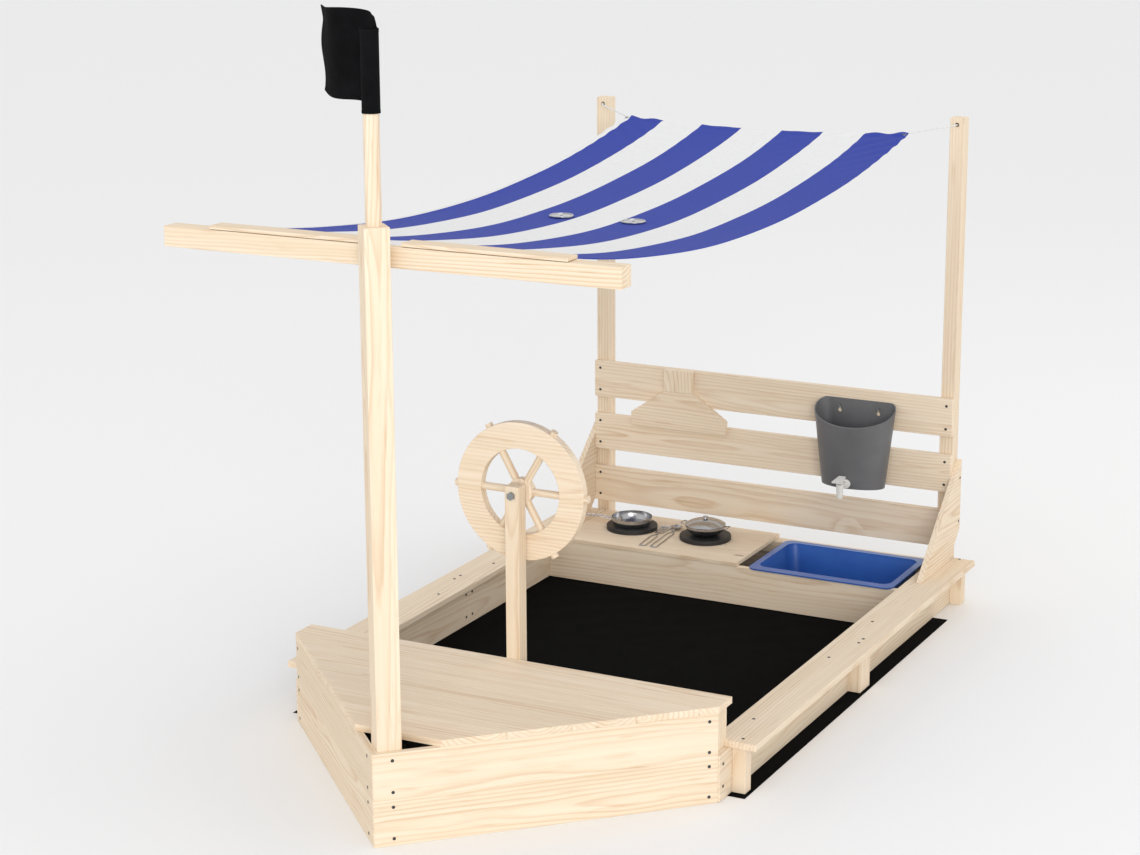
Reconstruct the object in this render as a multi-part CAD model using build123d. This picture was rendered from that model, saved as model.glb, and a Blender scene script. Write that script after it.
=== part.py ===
from build123d import *
from math import cos, pi, sin, sqrt
import os

# Pirate-ship sandpit: bow at -Y, kitchen stern at +Y, right side at +X, ground at Z = 0.

# ---- Driving dimensions, millimetres ----
hull_length = 2210       # bow tip to the backs of the rear posts
bow_side = 562           # half the bow's width and also its depth: the bow is a right angle
wall_step = 13           # bow corner to the inner face of a side wall
board_width = 107
board_thick = 16
wall_height = 111
edge_round = 1.5         # eased edges of every board
joint_gap = 0.5          # between two boards laid end to end
fit = 0.3                # clearance between pieces that move on each other

sheet_thick = 1
sheet_overhang = 9       # ground sheet beyond the legs
sheet_front = 45         # sheet's front edge behind the bow corners
sheet_back = 138         # sheet's rear edge behind the divider's front face

leg_side = 33
first_leg = 68           # behind the bow corners
middle_leg = 795
last_leg = 35            # in front of the rear posts
seat_overlap = 29        # seat's inner edge inside the wall
seat_front = 58
seat_end_gap = 12        # seat's rear end to the rear posts

mast_side = 55
mast_height = 1351
yard_side = 45
yard_past_wall = 1
yard_bottom = 1260
yard_housing = 10        # depth cut into the mast's rear corner for the yard
batten_thick = 8
batten_length = 385
batten_start = 46
pole_dia = 34
pole_top = 1748
pole_socket = 60
flag_bottom = 1582
flag_top = 1752
flag_fly = 215
flag_rise = 28           # fly above the sleeve's top
flag_turn = -22          # degrees: where the fly points, from straight left
cloth = 1.4

bench_back = 72          # bench's rear edge behind the bow corners
bench_boards = 5
bench_mast_gap = 8.6
bench_batten_wide = 45
bench_batten_thick = 20
bench_batten_inset = 312 # batten's middle to the bow corner
corner_post_wide = 36
bulkhead_front = bench_back - board_thick

kitchen_depth = 309      # divider's front face to the rear posts
rail_wide = 22
rail_high = 36
counter_thick = 12
counter_right = 38
burner_dia = 148
burner_thick = 13
burner_x = (-366, -133)
burner_from_back = 142   # burner centres to the rear posts' front
sink_left = 72
sink_wall_gap = 55
sink_front_lap = 9       # sink rim in front of the divider
sink_length = 295
sink_rim_wide = 15
sink_depth = 88
sink_wall = 3
sink_rim_thick = 4

post_side = 40
post_height = 1349
tie_hole_drop = 18
tie_hole_dia = 12
backrest_bottom = 156
backrest_pitch = 158.5
brace_top = 402
brace_end = 200          # height of the brace's end on the post
brace_foot = 227         # length of the brace's foot on the seat
brace_reach = 308        # foot's front corner to the brace's rear edge

hood_x = -273
chimney_wide = 88
chimney_thick = 20
chimney_bottom = 515
hood_wide = 300
hood_bottom = 403
hood_side = 40           # height of the hood board's upright ends

tank_wall_gap = 271
tank_bottom = 314
tank_top = 551
tank_foot_half = 92
tank_foot_deep = 86
tank_rim_half = 120
tank_rim_deep = 110
tank_corner = 36
tank_wall = 3
tank_slope = 30          # degrees: fall of the rim towards the front
keyhole_spacing = 114
keyhole_z = 529
keyhole_head = 11
keyhole_slot = 5.5
keyhole_rise = 13
tap_z = 330
tap_reach = 50
tap_bore = 11
tap_flange = (12.5, 4)   # radius and thickness
tap_flange_gap = 2       # seal between the flange and the tank
tap_barrel = 7.5
tap_tail = 14            # threaded tail inside the tank
tap_spout_drop = 29
tap_spout_rise = 10
tap_spout_radii = (8.5, 10.5)
tap_spout_wall = 2
tap_pin_rise = 15        # lever's pin above the barrel
tap_ear = 9
lever_long = 42
lever_tilt = 12          # degrees

wheel_z = 628
wheel_radius = 166
wheel_hole = 103
wheel_thick = 24
wheel_gap = 4            # washer between the post and the hub
hub_radius = 31
spoke_dia = 18
spoke_count = 6
handle_radius = 175
spoke_socket = 12        # depth of a spoke in the hub
wheel_post_side = 36
wheel_post_top = 650
axle_dia = 10

pan_dia = 118
pan_foot = 104
pan_high = 24
steel = 1.2
wire = 3.2
pot_dia = 116
pot_foot = 60
pot_high = 30
lid_rise = 16
knob_wide = 16
knob_waist = 4
knob_rise = 8
utensil_long = 208
spoon_dia = 36
spatula_x = -265         # handle ends
spoon_x = -231
utensil_back = 22        # handle ends behind the divider's front face
utensil_turn = 4         # degrees: blades lean to the left

canopy_inset = 129       # canopy's side edge inside the wall
canopy_sag = 101
canopy_rear_drop = 38    # canopy's rear edge below the post tops
canopy_rear_gap = 73     # canopy's rear edge to the rear posts
canopy_low = 0.48        # share of the span at which the canopy hangs lowest
drain_x = 97
drain_dia = 60
drain_lift = 2.4         # disc's middle above the cloth at its lowest line
cord_dia = 4
tie_bend = 12            # radius of a tie cord at the front of its hole
knot_dia = 14

screw_head = 7.5
screw_proud = 0.8

# ---- Places worked out from them ----
y_tip = -hull_length / 2
y_bow = y_tip + bow_side                  # the bow's two corners
y_back = hull_length / 2                  # backs of the rear posts
y_post = y_back - post_side               # fronts of the rear posts
y_board = y_post - board_thick            # fronts of the backrest boards
y_divider = y_post - kitchen_depth
wall_inside = bow_side - wall_step        # centreline to a side wall
wall_outside = wall_inside + board_thick
leg_outside = wall_outside + leg_side
seat_inside = wall_inside - seat_overlap
yard_half = wall_inside + yard_past_wall
sink_right = wall_inside - sink_wall_gap
canopy_half = wall_inside - canopy_inset
tank_x = wall_inside - tank_wall_gap
z_wall = sheet_thick + wall_height        # tops of walls and legs
z_seat = z_wall + board_thick
z_bow = 2 * board_width                   # top of the bow boards
z_bench = z_bow + board_thick
bow_skin = board_thick * sqrt(2)          # a bow board's thickness measured across the ship
seat_outside = seat_inside + board_width
seat_middle = y_bow + middle_leg + leg_side
mast_half = mast_side / sqrt(2)           # centre to corner
mast_y = y_tip + bow_skin + mast_half
yard_y = mast_y + mast_half - yard_housing
yard_top = yard_bottom + yard_side
bench_y = y_bow + bench_back
bench_board_width = (bench_y - mast_y - mast_half - bench_mast_gap) / bench_boards
bench_batten_place = bow_side - bench_batten_inset
leg_fronts = (
    y_bow + first_leg,
    y_bow + middle_leg,
    y_bow + middle_leg + leg_side,
    y_post - last_leg,
)
post_middle = wall_inside - post_side / 2
tie_hole_z = post_height - tie_hole_drop
z_counter = z_wall + counter_thick
z_burner = z_counter + burner_thick
burner_y = y_post - burner_from_back
wheel_post_y = y_bow + bench_back
wheel_front = wheel_post_y + wheel_post_side + wheel_gap
wheel_y = wheel_front + wheel_thick / 2

parts = {}


# ---- Helpers ----
def block(x, y, z, ease=edge_round):
    """A board or post between two limits on each axis, with eased edges."""
    sizes = [high - low for low, high in (x, y, z)]
    middle = [(high + low) / 2 for low, high in (x, y, z)]
    body = Box(*sizes)
    if ease:
        body = fillet(body.edges(), min(ease, min(sizes) / 3))
    return Pos(*middle) * body


def prism(points, z0, z1, ease=edge_round):
    """An upright prism on a plan outline."""
    body = extrude(make_face(Polyline(*points, close=True)), z1 - z0)
    if ease:
        body = fillet(body.edges(), ease)
    return Pos(0, 0, z0) * body


def mirrored(shape):
    return mirror(shape, about=Plane.YZ)


def rod(start, end, radius):
    """A round bar from one point to another."""
    direction = Vector(*end) - Vector(*start)
    plane = Plane(origin=start, z_dir=direction)
    return plane * Cylinder(radius, direction.length, align=(Align.CENTER, Align.CENTER, Align.MIN))


def along_y(x, z, y0, y1, radius):
    return rod((x, y0, z), (x, y1, z), radius)


def put(name, *solids):
    """One node: a single solid, or a group of separate solids."""
    parts[name] = solids[0] if len(solids) == 1 else Compound(children=list(solids))


# ---- Bow box ----
def bow_board(z0):
    outline = [
        (0, y_tip),
        (bow_side, y_bow),
        (bow_side - bow_skin, y_bow),
        (0, y_tip + bow_skin),
    ]
    return prism(outline, z0, z0 + board_width, 1)


for level, name in enumerate(("lower", "upper")):
    board = bow_board(level * board_width)
    put(f"bow_board_{name}_right", board)
    put(f"bow_board_{name}_left", mirrored(board))

post_inner = wall_inside - corner_post_wide
bow_inner = bow_side - bow_skin           # where a bow board's inner face meets the bow corner line
corner_post = prism(
    [
        (wall_inside, y_bow),
        (wall_inside, y_bow + bulkhead_front),
        (post_inner, y_bow + bulkhead_front),
        (post_inner, y_bow - (bow_inner - post_inner)),
        (bow_inner, y_bow),
    ],
    sheet_thick,
    z_bow,
    1,
)
put("bow_corner_posts", corner_post, mirrored(corner_post))

bulkhead_y = (y_bow + bulkhead_front, y_bow + bench_back)
bulkhead_x = (-wall_inside, wall_inside)
put("bulkhead_lower", block(bulkhead_x, bulkhead_y, (sheet_thick, board_width)))
put("bulkhead_upper", block(bulkhead_x, bulkhead_y, (board_width, z_bow)))

# ---- Bench lid: five boards cut to the bow's outline, on two battens ----
for number in range(bench_boards):
    back = bench_y - number * bench_board_width
    front = back - bench_board_width + joint_gap
    if back > y_bow:
        outline = [
            (bow_side, back),
            (bow_side, y_bow),
            (front - y_tip, front),
            (y_tip - front, front),
            (-bow_side, y_bow),
            (-bow_side, back),
        ]
    else:
        outline = [(back - y_tip, back), (front - y_tip, front), (y_tip - front, front), (y_tip - back, back)]
    put(f"bench_board_{number + 1}", prism(outline, z_bow, z_bench, 1))

batten_rear = y_bow + bulkhead_front - fit * 4
batten_front = y_tip + bench_batten_place + bench_batten_wide / 2 + bow_skin + fit * 4
bench_batten = block(
    (bench_batten_place - bench_batten_wide / 2, bench_batten_place + bench_batten_wide / 2),
    (batten_front, batten_rear),
    (z_bow - bench_batten_thick, z_bow),
)
put("bench_battens", bench_batten, mirrored(bench_batten))

# ---- Mast, yard, pole and flag ----
mast = Pos(0, mast_y, 0) * Rot(0, 0, 45) * block(
    (-mast_side / 2, mast_side / 2), (-mast_side / 2, mast_side / 2), (0, mast_height)
)
mast -= Pos(0, mast_y, mast_height - pole_socket / 2) * Cylinder(pole_dia / 2, pole_socket)
mast -= block((-mast_side, mast_side), (yard_y, yard_y + mast_side), (yard_bottom, yard_top), 0)
put("mast", mast)
put("yard", block((-yard_half, yard_half), (yard_y, yard_y + yard_side), (yard_bottom, yard_top)))

z_batten = yard_top + cloth
batten = block(
    (batten_start, batten_start + batten_length),
    (yard_y, yard_y + yard_side),
    (z_batten, z_batten + batten_thick),
)
put("canopy_battens", batten, mirrored(batten))

pole_foot = mast_height - pole_socket
put("flag_pole", Pos(0, mast_y, 0) * rod((0, 0, pole_foot), (0, 0, pole_top), pole_dia / 2))


def flag_shape():
    """A sleeve round the pole with a fly that waves away to the left and aft."""
    inner = pole_dia / 2 + fit
    outer = inner + cloth
    height = flag_top - flag_bottom
    sleeve = Pos(0, 0, height / 2) * (Cylinder(outer, height) - Cylinder(inner, height))
    plan = [
        (0, inner),
        (-flag_fly * 0.33, inner + 13),
        (-flag_fly * 0.66, inner - 9),
        (-flag_fly, inner + 12),
    ]
    near = Spline(*plan)
    far = Spline(*[(x, y + cloth) for x, y in plan])
    ends = [Line(near @ 0, far @ 0), Line(near @ 1, far @ 1)]
    fly = extrude(make_face([near, far] + ends), height + flag_rise - 8)
    return Pos(0, mast_y, flag_bottom) * Rot(0, 0, flag_turn) * (sleeve + Pos(0, 0, 8) * fly)


put("flag", flag_shape())

# ---- Side walls, seats and legs ----
wall_x = (wall_inside, wall_outside)
wall_z = (sheet_thick, z_wall)
wall_fore = block(wall_x, (y_bow, seat_middle - joint_gap / 2), wall_z)
wall_aft = block(wall_x, (seat_middle + joint_gap / 2, y_back), wall_z)
put("side_wall_right", wall_fore, wall_aft)
put("side_wall_left", mirrored(wall_fore), mirrored(wall_aft))

seat_x = (seat_inside, seat_outside)
seat_z = (z_wall, z_seat)
seat_fore = block(seat_x, (y_bow + seat_front, seat_middle - joint_gap / 2), seat_z)
# notched round the end of the bulkhead
seat_fore -= block((seat_inside - 1, wall_inside), (y_bow, bench_y), (z_wall - 1, z_seat + 1), 0)
seat_aft = block(seat_x, (seat_middle + joint_gap / 2, y_post - seat_end_gap), seat_z)
put("seat_right", seat_fore, seat_aft)
put("seat_left", mirrored(seat_fore), mirrored(seat_aft))

leg_x = (wall_outside, leg_outside)
legs = []
for front in leg_fronts:
    foot = 0 if front == leg_fronts[-1] else sheet_thick
    leg = block(leg_x, (front, front + leg_side), (foot, z_wall))
    legs += [leg, mirrored(leg)]
put("seat_legs", *legs)

sheet_half = leg_outside + sheet_overhang
put(
    "ground_sheet",
    block((-sheet_half, sheet_half), (y_bow + sheet_front, y_divider + sheet_back), (0, sheet_thick), 0),
)

# ---- Stern kitchen ----
inside_x = (-wall_inside, wall_inside)
put("sandpit_divider", block(inside_x, (y_divider, y_divider + board_thick), wall_z))
put("rear_wall", block(inside_x, (y_board, y_post), (0, z_wall)))
rail_y = y_board - rail_wide
put("kitchen_rail", block(inside_x, (rail_y, y_board), (z_wall - rail_high, z_wall)))
counter_left = -seat_inside + 1
put("countertop", block((counter_left, counter_right), (y_divider - 3, y_post), (z_wall, z_counter)))


def burner(x):
    disc = Pos(x, burner_y, z_counter + burner_thick / 2) * Cylinder(burner_dia / 2, burner_thick)
    return fillet(disc.edges(), 2)


put("burner_discs", *[burner(x) for x in burner_x])


def sink_shape():
    """A rectangular tub with round corners and a flat rim that hangs on two boards."""
    wide = sink_right - sink_left
    outer_wide = wide - 2 * sink_rim_wide
    front = y_divider + board_thick + 2
    back = rail_y - 2
    deep = back - front
    middle = Pos((sink_left + sink_right) / 2, (front + back) / 2, 0)

    def tub(shrink, drop):
        top = Pos(0, 0, z_wall) * RectangleRounded(outer_wide - 2 * shrink, deep - 2 * shrink, 30 - shrink)
        low = RectangleRounded(outer_wide - 24 - 2 * shrink, deep - 24 - 2 * shrink, 30 - shrink)
        return loft([Pos(0, 0, z_wall - drop) * low, top])

    rim_y = y_divider - sink_front_lap + sink_length / 2
    rim = extrude(RectangleRounded(wide, sink_length, 24), sink_rim_thick)
    rim = Pos((sink_left + sink_right) / 2, rim_y, z_wall) * rim
    mouth = RectangleRounded(outer_wide - 2 * sink_wall, deep - 2 * sink_wall, 30 - sink_wall)
    rim -= middle * Pos(0, 0, z_wall) * extrude(mouth, sink_rim_thick)
    return rim + middle * (tub(0, sink_depth) - tub(sink_wall, sink_depth - sink_wall))


put("sink_tub", sink_shape())

# ---- Rear posts, backrest and braces ----
post = block((wall_inside - post_side, wall_inside), (y_post, y_back), (0, post_height))
post -= along_y(post_middle, tie_hole_z, y_post, y_back, tie_hole_dia / 2)
put("rear_posts", post, mirrored(post))

for number, name in enumerate(("lower", "middle", "upper")):
    z0 = backrest_bottom + number * backrest_pitch
    put(f"backrest_board_{name}", block(inside_x, (y_board, y_post), (z0, z0 + board_width)))

brace_y = y_back - 8
brace_outline = Polyline(
    (brace_y, brace_top),
    (brace_y, brace_top - brace_end),
    (brace_y - brace_reach + brace_foot, z_seat),
    (brace_y - brace_reach, z_seat),
    close=True,
)
brace = extrude(Plane.YZ * make_face(brace_outline), board_thick)
brace = Pos(wall_inside, 0, 0) * fillet(brace.edges(), 1)
put("braces", brace, mirrored(brace))

# ---- Cooker hood on the backrest ----
backrest_top = backrest_bottom + 2 * backrest_pitch + board_width
put(
    "hood_chimney",
    block(
        (hood_x - chimney_wide / 2, hood_x + chimney_wide / 2),
        (y_board - chimney_thick, y_board),
        (chimney_bottom, backrest_top),
    ),
)
hood_shoulder = hood_bottom + hood_side
hood_outline = Polyline(
    (-hood_wide / 2, hood_bottom),
    (hood_wide / 2, hood_bottom),
    (hood_wide / 2, hood_shoulder),
    (chimney_wide / 2, chimney_bottom),
    (-chimney_wide / 2, chimney_bottom),
    (-hood_wide / 2, hood_shoulder),
    close=True,
)
hood = extrude(Plane.XZ * make_face(hood_outline), board_thick)
put("hood_panel", Pos(hood_x, y_board, 0) * fillet(hood.edges(), 1))


# ---- Water tank and tap ----
def tank_section(z, half, deep, corner):
    """A D-shaped outline: straight back on y = 0, round corners, elliptical front."""
    front = EllipticalCenterArc((0, -corner), half, deep - corner, start_angle=180, arc_size=180)
    arc_right = CenterArc((half - corner, -corner), corner, 0, 90)
    back = Line((half - corner, 0), (corner - half, 0))
    arc_left = CenterArc((corner - half, -corner), corner, 90, 90)
    return Pos(0, 0, z) * make_face([front, arc_right, back, arc_left])


def tank_half(z):
    return tank_foot_half + (tank_rim_half - tank_foot_half) * (z - tank_bottom) / (tank_top - tank_bottom)


def tank_deep(z):
    return tank_foot_deep + (tank_rim_deep - tank_foot_deep) * (z - tank_bottom) / (tank_top - tank_bottom)


def tank_shape():
    outer = loft(
        [
            tank_section(tank_bottom, tank_foot_half, tank_foot_deep, tank_corner),
            tank_section(tank_top, tank_rim_half, tank_rim_deep, tank_corner),
        ]
    )
    floor = tank_bottom + tank_wall
    inner_corner = tank_corner - tank_wall
    inner = loft(
        [
            tank_section(floor, tank_half(floor) - tank_wall, tank_deep(floor) - 2 * tank_wall, inner_corner),
            tank_section(tank_top, tank_rim_half - tank_wall, tank_rim_deep - 2 * tank_wall, inner_corner),
        ]
    )
    tank = outer - Pos(0, -tank_wall, 0) * inner
    # the rim falls from the back wall to the front
    reach = 3 * tank_rim_deep
    cutter = Box(4 * tank_rim_half, reach, reach, align=(Align.CENTER, Align.MAX, Align.MIN))
    tank -= Pos(0, -tank_wall, tank_top) * Rot(tank_slope, 0, 0) * cutter
    for side in (-1, 1):
        x = side * keyhole_spacing / 2
        low = keyhole_z - keyhole_rise
        tank -= along_y(x, low, -2 * tank_wall, tank_wall, keyhole_head / 2)
        tank -= along_y(x, keyhole_z, -2 * tank_wall, tank_wall, keyhole_slot / 2)
        tank -= block(
            (x - keyhole_slot / 2, x + keyhole_slot / 2), (-2 * tank_wall, tank_wall), (low, keyhole_z), 0
        )
    tank -= along_y(0, tap_z, -2 * tank_rim_deep, -tank_foot_deep / 2, tap_bore / 2)
    return tank


tank_place = Pos(tank_x, y_board - fit, 0)
put("water_tank", tank_place * tank_shape())

screws = []
for side in (-1, 1):
    x = tank_x + side * keyhole_spacing / 2
    shank = along_y(x, keyhole_z, y_board - fit - tank_wall - 1, y_board, 2)
    head = along_y(x, keyhole_z, y_board - fit - tank_wall - 3.5, y_board - fit - tank_wall - 0.8, 4.5)
    screws.append(shank + head)
put("tank_screws", *screws)

tap_face = -tank_deep(tap_z)              # tank's front skin at the tap
pin_radius = 1.5
tap_axis = tap_face - tap_reach


def tap_body_shape():
    """A flange, a horizontal barrel with its threaded tail, and an upright spout."""
    flange_radius, flange_thick = tap_flange
    flange_back = tap_face - tap_flange_gap
    low, high = tap_spout_radii
    bottom = tap_z - tap_spout_drop
    body = along_y(0, tap_z, flange_back - flange_thick, flange_back, flange_radius)
    body += along_y(0, tap_z, tap_axis, flange_back - flange_thick, tap_barrel)
    body += along_y(0, tap_z, flange_back, tap_face + tap_tail, tap_bore / 2 - fit)
    spout_low = Plane((0, tap_axis, bottom)) * Circle(low)
    spout_high = Plane((0, tap_axis, tap_z + tap_spout_rise)) * Circle(high)
    bore_low = Plane((0, tap_axis, bottom)) * Circle(low - tap_spout_wall)
    bore_high = Plane((0, tap_axis, tap_z + tap_spout_rise / 2)) * Circle(high - tap_spout_wall)
    body += loft([spout_low, spout_high])
    body -= loft([bore_low, bore_high])
    ear_z = tap_z + tap_pin_rise
    for side in (-1, 1):
        body += Pos(side * tap_ear * 2 / 3, tap_axis, ear_z - 2) * Box(2.5, tap_ear, tap_ear)
    body -= rod((-tap_ear, tap_axis, ear_z), (tap_ear, tap_axis, ear_z), pin_radius + fit / 2)
    return body


put("tap_body", tank_place * tap_body_shape())

nut_face = tap_face + tap_tail - 1.5
nut_plane = Plane(origin=(0, nut_face, tap_z), z_dir=(0, -1, 0))
nut = extrude(nut_plane * RegularPolygon(tap_bore, 6), tap_bore / 2)
nut -= along_y(0, tap_z, tap_face, nut_face + tap_tail, tap_bore / 2 - fit)
put("tap_nut", tank_place * nut)


def tap_lever_shape():
    """A thumb paddle that widens to the front, with a stem between the body's ears."""
    outline = Polyline(
        (-10, lever_long * 0.45),
        (10, lever_long * 0.45),
        (17, -lever_long * 0.55),
        (-17, -lever_long * 0.55),
        close=True,
    )
    paddle = extrude(make_face(outline), 3)
    paddle = fillet(paddle.edges().filter_by(Axis.Z), 2)
    pin_z = tap_z + tap_pin_rise
    paddle = Pos(0, tap_axis, pin_z + 7) * Rot(lever_tilt, 0, 0) * paddle
    stem = Pos(0, tap_axis, pin_z + 4) * Box(tap_ear - 0.5, tap_ear - 1, tap_ear + 2)
    pin = rod((1 - tap_ear, tap_axis, pin_z), (tap_ear - 1, tap_axis, pin_z), pin_radius)
    return paddle + stem + pin


put("tap_lever", tank_place * tap_lever_shape())

# ---- Ship's wheel on its post ----
wheel_post = block(
    (-wheel_post_side / 2, wheel_post_side / 2),
    (wheel_post_y, wheel_post_y + wheel_post_side),
    (sheet_thick, wheel_post_top),
)
wheel_post -= along_y(0, wheel_z, wheel_post_y, wheel_post_y + wheel_post_side, axle_dia / 2)
put("wheel_post", wheel_post)

wheel_back = wheel_front + wheel_thick
ring = along_y(0, wheel_z, wheel_front, wheel_back, wheel_radius)
ring -= along_y(0, wheel_z, wheel_front, wheel_back, wheel_hole)
ring = fillet(ring.edges().filter_by(GeomType.CIRCLE), edge_round)
hub = along_y(0, wheel_z, wheel_front, wheel_back, hub_radius)
hub = fillet(hub.edges().filter_by(GeomType.CIRCLE), edge_round)
hub -= along_y(0, wheel_z, wheel_front, wheel_back, axle_dia / 2 + fit)
spokes = []
for number in range(spoke_count):
    turn = 2 * pi * number / spoke_count
    start = hub_radius - spoke_socket
    spoke = rod(
        (start * cos(turn), wheel_y, wheel_z + start * sin(turn)),
        (handle_radius * cos(turn), wheel_y, wheel_z + handle_radius * sin(turn)),
        spoke_dia / 2,
    )
    spokes.append(spoke)
    ring -= spoke
    hub -= spoke
put("wheel_ring", ring)
put("wheel_hub", hub)
put("wheel_spokes", *spokes)

head_thick = 7
head_plane = Plane(origin=(0, wheel_post_y, wheel_z), z_dir=(0, -1, 0))
bolt_head = extrude(head_plane * RegularPolygon(axle_dia, 6), head_thick)
nut_y = wheel_back + wheel_gap
nut_thick = 9
put("wheel_bolt", bolt_head + along_y(0, wheel_z, wheel_post_y, nut_y + nut_thick, axle_dia / 2))

washer_front = along_y(0, wheel_z, wheel_front - wheel_gap, wheel_front - fit, axle_dia)
washer_back = along_y(0, wheel_z, wheel_back + fit, nut_y, axle_dia)
nut_plane = Plane(origin=(0, nut_y + nut_thick - 1, wheel_z), z_dir=(0, -1, 0))
wheel_nut = extrude(nut_plane * RegularPolygon(axle_dia, 6), nut_thick - 1)
axle_bore = along_y(0, wheel_z, wheel_post_y, nut_y + 2 * nut_thick, axle_dia / 2)
put("wheel_nut", washer_front - axle_bore, washer_back - axle_bore, wheel_nut - axle_bore)


# ---- Pan, pot and utensils ----
def bowl(foot, rim, high, wall):
    """An open dish with a flat foot and a curved flare."""
    profile = [
        Line((0, 0), (foot / 2, 0)),
        ThreePointArc((foot / 2, 0), (foot / 2 + (rim - foot) * 0.36, high * 0.42), (rim / 2, high)),
        Line((rim / 2, high), (rim / 2 - wall, high)),
        ThreePointArc(
            (rim / 2 - wall, high),
            (foot / 2 + (rim - foot) * 0.36 - wall, high * 0.42 + wall * 0.6),
            (foot / 2 - wall / 2, wall),
        ),
        Line((foot / 2 - wall / 2, wall), (0, wall)),
        Line((0, wall), (0, 0)),
    ]
    return revolve(Plane.XZ * make_face(profile), Axis.Z)


def wire_path(points, corner, radius):
    """Bent wire along corners joined by arcs of one radius."""
    path = FilletPolyline(*points, radius=corner)
    section = Plane(origin=path @ 0, z_dir=path % 0) * Circle(radius)
    return sweep(section, path=path)


pan_turn = 205
pan_grip = 130


def pan_shape():
    dish = bowl(pan_foot, pan_dia, pan_high, steel)
    root = pan_dia / 2 - 1
    grip = wire_path(
        [
            (root, -9, pan_high - 7),
            (root + 35, -9, pan_high + 2),
            (root + pan_grip, -6, pan_high + 8),
            (root + pan_grip, 6, pan_high + 8),
            (root + 35, 9, pan_high + 2),
            (root, 9, pan_high - 7),
        ],
        4,
        wire / 2,
    )
    return dish + Rot(0, 0, pan_turn) * grip


put("pan", Pos(burner_x[0], burner_y, z_burner) * pan_shape())


def pot_shape():
    dish = bowl(pot_foot, pot_dia, pot_high, steel)
    for side in (0, 180):
        root = pot_dia / 2 - 4
        ear = wire_path(
            [
                (root - 3, -16, pot_high - 5),
                (root + 18, -14, pot_high - 1),
                (root + 18, 14, pot_high - 1),
                (root - 3, 16, pot_high - 5),
            ],
            5,
            wire / 2,
        )
        dish += Rot(0, 0, side) * ear
    return dish


pot_place = Pos(burner_x[1], burner_y, z_burner)
put("pot", pot_place * pot_shape())


def lid_shape():
    """A shallow dome with a small waisted knob."""
    half = pot_dia / 2
    dome = [
        Line((half, 0), (half, steel)),
        ThreePointArc((half, steel), (half * 0.55, lid_rise * 0.8), (0, lid_rise)),
        Line((0, lid_rise), (0, lid_rise - steel)),
        ThreePointArc((0, lid_rise - steel), (half * 0.55, lid_rise * 0.8 - steel), (half - 2, 0)),
        Line((half - 2, 0), (half, 0)),
    ]
    root = lid_rise - steel / 2
    knob = [
        Line((0, root), (knob_waist + 1, root)),
        Line((knob_waist + 1, root), (knob_waist, root + knob_rise / 2)),
        ThreePointArc(
            (knob_waist, root + knob_rise / 2),
            (knob_wide / 2, root + knob_rise * 0.7),
            (knob_waist, root + knob_rise),
        ),
        Line((knob_waist, root + knob_rise), (0, root + knob_rise)),
        Line((0, root + knob_rise), (0, root)),
    ]
    return revolve(Plane.XZ * make_face(dome), Axis.Z) + revolve(Plane.XZ * make_face(knob), Axis.Z)


put("pot_lid", pot_place * Pos(0, 0, pot_high + fit) * lid_shape())


def loop_handle(long, neck_z):
    """A wire loop handle lying flat, its neck at y = long."""
    half = [(1.8, long, neck_z), (1.8, long - 22, 2), (9, long - 40, 2), (9, 2, 2)]
    return wire_path([(-x, y, z) for x, y, z in half] + half[::-1], 3, 1.6)


def spatula_shape():
    handle_long = utensil_long * 0.66
    blade = Polyline(
        (-12, handle_long - 6), (12, handle_long - 6), (19, utensil_long), (-19, utensil_long), close=True
    )
    blade = Pos(0, 0, 1) * extrude(make_face(blade), steel)
    for row in range(3):
        for column in (-1, 0, 1):
            blade -= Pos(column * 8, handle_long + 12 + row * 18, 1) * Box(4, 10, 6)
    return loop_handle(handle_long, 2) + blade


def spoon_shape():
    handle_long = utensil_long - spoon_dia * 0.8
    ball = spoon_dia * 0.62               # radius of the bowl's sphere
    dish = Sphere(ball) - Sphere(ball - steel)
    depth = ball - sqrt(ball ** 2 - (spoon_dia / 2) ** 2)
    dish = dish & Pos(0, 0, -ball) * Box(2 * ball, 2 * ball, 2 * depth)
    bowl_place = Pos(0, utensil_long - spoon_dia / 2, ball + 0.3)
    handle = loop_handle(handle_long, depth) - bowl_place * Sphere(ball - steel / 2)
    return handle + bowl_place * dish


utensil_y = y_divider + utensil_back
put("spatula", Pos(spatula_x, utensil_y, z_counter) * Rot(0, 0, utensil_turn) * spatula_shape())
put("spoon", Pos(spoon_x, utensil_y, z_counter) * Rot(0, 0, utensil_turn) * spoon_shape())

# ---- Canopy, its drains and its ties ----
canopy_front = yard_y + yard_housing + 2  # clear of the mast's rear corner
canopy_rear = y_post - canopy_rear_gap
canopy_rear_z = post_height - canopy_rear_drop
canopy_lip = yard_y + yard_side + 4       # the cloth lies flat on the yard up to here
canopy_low_y = canopy_lip + (canopy_rear - canopy_lip) * canopy_low
canopy_low_z = yard_top - canopy_sag


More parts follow.
